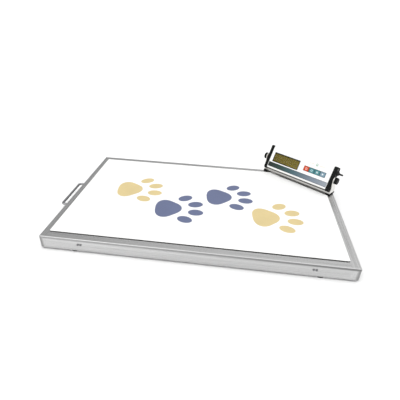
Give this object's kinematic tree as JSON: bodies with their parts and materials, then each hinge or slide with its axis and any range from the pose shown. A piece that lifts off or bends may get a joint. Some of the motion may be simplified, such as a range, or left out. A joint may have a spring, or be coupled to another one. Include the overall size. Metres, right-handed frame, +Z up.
{
  "type": "animal weighing scale",
  "caption": "Low steel floor scale for animals: white mat, levelling feet, side carrying handle, and a separate display in a tilting bracket.",
  "frame": {"origin": "centre of the whole object's box, on the floor", "axes": "+X along the platform's long front edge, +Y from the front edge to the back, +Z up"},
  "size_m": [0.9513, 0.5888, 0.146],
  "materials": {
    "stainless_sheet": "fine brushed",
    "mat_backing_rubber": "matt",
    "mat_skin": "fine grained",
    "frame_steel": "zinc grey",
    "load_cell_metal": "satin machined",
    "zinc_steel": "zinc plated",
    "handle_steel": "drawn rod",
    "black_rubber": "matt",
    "lead_sheath": "matt",
    "black_plastic": "fine grained",
    "grey_plastic": "fine grained",
    "circuit_board": "lacquered",
    "case_white": "satin",
    "panel_print": "satin print",
    "display_glass": "clear, olive tint",
    "display_lcd": "semi gloss",
    "key_red": "satin",
    "key_teal": "satin",
    "key_blue": "satin",
    "bracket_steel": "fine brushed",
    "brass_turned": "turned",
    "battery_sleeve": "shrink sleeve",
    "washer_fibre": "matt"
  },
  "bodies": {
    "platform": {"deck_pan": "stainless_sheet", "mat_backing": "mat_backing_rubber", "mat_top": "mat_skin", "frame_rail_front": "frame_steel", "frame_rail_rear": "frame_steel", "frame_cross_rails": "frame_steel", "skirt_screws": "zinc_steel", "load_cell_spacers": "load_cell_metal", "load_cell_bolts": "zinc_steel", "load_cell_leads": "lead_sheath", "output_lead": "lead_sheath", "lead_clips": "black_plastic", "junction_box": "grey_plastic", "junction_lid": "grey_plastic", "junction_lid_screws": "zinc_steel", "summing_board": "circuit_board", "cable_glands": "black_plastic", "carry_handle": "handle_steel", "handle_nuts": "zinc_steel", "load_cell_front_left": "load_cell_metal", "load_cell_front_right": "load_cell_metal", "load_cell_rear_left": "load_cell_metal", "load_cell_rear_right": "load_cell_metal"},
    "stand": {"bracket": "bracket_steel", "bracket_foot_left": "black_rubber", "bracket_foot_right": "black_rubber", "pivot_washers": "washer_fibre"},
    "indicator": {"case_front": "case_white", "case_back": "case_white", "batteries": "battery_sleeve", "face_panel": "panel_print", "display_window": "display_glass", "display_module": "display_lcd", "main_board": "circuit_board", "board_screws": "zinc_steel", "key_switches": "black_plastic", "end_cap_left": "black_plastic", "end_cap_right": "black_plastic", "end_cap_screws": "zinc_steel", "pivot_inserts": "brass_turned", "cable_boot": "black_rubber"},
    "battery_cover": {"battery_door": "case_white"},
    "power_key": {"key_power": "key_red"},
    "tare_key": {"key_tare": "key_teal"},
    "hold_key": {"key_hold": "key_teal"},
    "mode_key": {"key_mode": "key_blue"},
    "left_knob_washer": {"knob_washer_left": "zinc_steel"},
    "right_knob_washer": {"knob_washer_right": "zinc_steel"},
    "left_knob": {"knob_left": "black_plastic", "knob_stud_left": "zinc_steel"},
    "right_knob": {"knob_right": "black_plastic", "knob_stud_right": "zinc_steel"},
    "pad_front_left": {"foot_pad_front_left": "black_rubber"},
    "stud_front_left": {"foot_stud_front_left": "zinc_steel"},
    "pad_front_right": {"foot_pad_front_right": "black_rubber"},
    "stud_front_right": {"foot_stud_front_right": "zinc_steel"},
    "pad_rear_left": {"foot_pad_rear_left": "black_rubber"},
    "stud_rear_left": {"foot_stud_rear_left": "zinc_steel"},
    "pad_rear_right": {"foot_pad_rear_right": "black_rubber"},
    "stud_rear_right": {"foot_stud_rear_right": "zinc_steel"}
  },
  "joints": [
    {"name": "indicator_lift", "type": "slide", "parent": "platform", "child": "stand", "axis": [0, 0, 1], "range_m": [0, 0.2]},
    {"name": "indicator_tilt", "type": "hinge", "parent": "stand", "child": "indicator", "pos_m": [0.33755, 0.1845, 0.1015], "axis": [-0.8018, 0.5976, 0], "range_deg": [-38, 62]},
    {"name": "battery_door_pull", "type": "slide", "parent": "indicator", "child": "battery_cover", "axis": [0.5277, 0.7079, -0.4695], "range_m": [0, 0.015]},
    {"name": "power_press", "type": "slide", "parent": "indicator", "child": "power_key", "axis": [0.5277, 0.7079, -0.4695], "range_m": [0, 0.0008], "stiffness_N_per_m": 2500},
    {"name": "tare_press", "type": "slide", "parent": "indicator", "child": "tare_key", "axis": [0.5277, 0.7079, -0.4695], "range_m": [0, 0.0008], "stiffness_N_per_m": 2500},
    {"name": "hold_press", "type": "slide", "parent": "indicator", "child": "hold_key", "axis": [0.5277, 0.7079, -0.4695], "range_m": [0, 0.0008], "stiffness_N_per_m": 2500},
    {"name": "mode_press", "type": "slide", "parent": "indicator", "child": "mode_key", "axis": [0.5277, 0.7079, -0.4695], "range_m": [0, 0.0008], "stiffness_N_per_m": 2500},
    {"name": "left_knob_travel", "type": "slide", "parent": "indicator", "child": "left_knob_washer", "axis": [-0.8018, 0.5976, 0], "range_m": [0, 0.002]},
    {"name": "left_knob_turn", "type": "hinge", "parent": "left_knob_washer", "child": "left_knob", "pos_m": [0.21888, 0.27295, 0.1015], "axis": [-0.8018, 0.5976, 0], "range_deg": [0, 721]},
    {"name": "right_knob_travel", "type": "slide", "parent": "indicator", "child": "right_knob_washer", "axis": [0.8018, -0.5976, 0], "range_m": [0, 0.002]},
    {"name": "right_knob_turn", "type": "hinge", "parent": "right_knob_washer", "child": "right_knob", "pos_m": [0.45621, 0.09605, 0.1015], "axis": [0.8018, -0.5976, 0], "range_deg": [0, 721]},
    {"name": "foot_travel_front_left", "type": "slide", "parent": "platform", "child": "pad_front_left", "axis": [0, 0, -1], "range_m": [0, 0.006]},
    {"name": "foot_turn_front_left", "type": "hinge", "parent": "pad_front_left", "child": "stud_front_left", "pos_m": [-0.34215, -0.2776, 0.004], "axis": [0, 0, -1], "range_deg": [0, 1730]},
    {"name": "foot_travel_front_right", "type": "slide", "parent": "platform", "child": "pad_front_right", "axis": [0, 0, -1], "range_m": [0, 0.006]},
    {"name": "foot_turn_front_right", "type": "hinge", "parent": "pad_front_right", "child": "stud_front_right", "pos_m": [0.35785, -0.2776, 0.004], "axis": [0, 0, -1], "range_deg": [0, 1730]},
    {"name": "foot_travel_rear_left", "type": "slide", "parent": "platform", "child": "pad_rear_left", "axis": [0, 0, -1], "range_m": [0, 0.006]},
    {"name": "foot_turn_rear_left", "type": "hinge", "parent": "pad_rear_left", "child": "stud_rear_left", "pos_m": [-0.34215, 0.2424, 0.004], "axis": [0, 0, -1], "range_deg": [0, 1730]},
    {"name": "foot_travel_rear_right", "type": "slide", "parent": "platform", "child": "pad_rear_right", "axis": [0, 0, -1], "range_m": [0, 0.006]},
    {"name": "foot_turn_rear_right", "type": "hinge", "parent": "pad_rear_right", "child": "stud_rear_right", "pos_m": [0.35785, 0.2424, 0.004], "axis": [0, 0, -1], "range_deg": [0, 1730]}
  ],
  "couplings": [
    {"joint": "left_knob_turn", "follows": "left_knob_travel", "rad_per_m": 6283.2},
    {"joint": "right_knob_turn", "follows": "right_knob_travel", "rad_per_m": 6283.2},
    {"joint": "foot_turn_front_left", "follows": "foot_travel_front_left", "rad_per_m": 5026.5},
    {"joint": "foot_turn_front_right", "follows": "foot_travel_front_right", "rad_per_m": 5026.5},
    {"joint": "foot_turn_rear_left", "follows": "foot_travel_rear_left", "rad_per_m": 5026.5},
    {"joint": "foot_turn_rear_right", "follows": "foot_travel_rear_right", "rad_per_m": 5026.5}
  ]
}
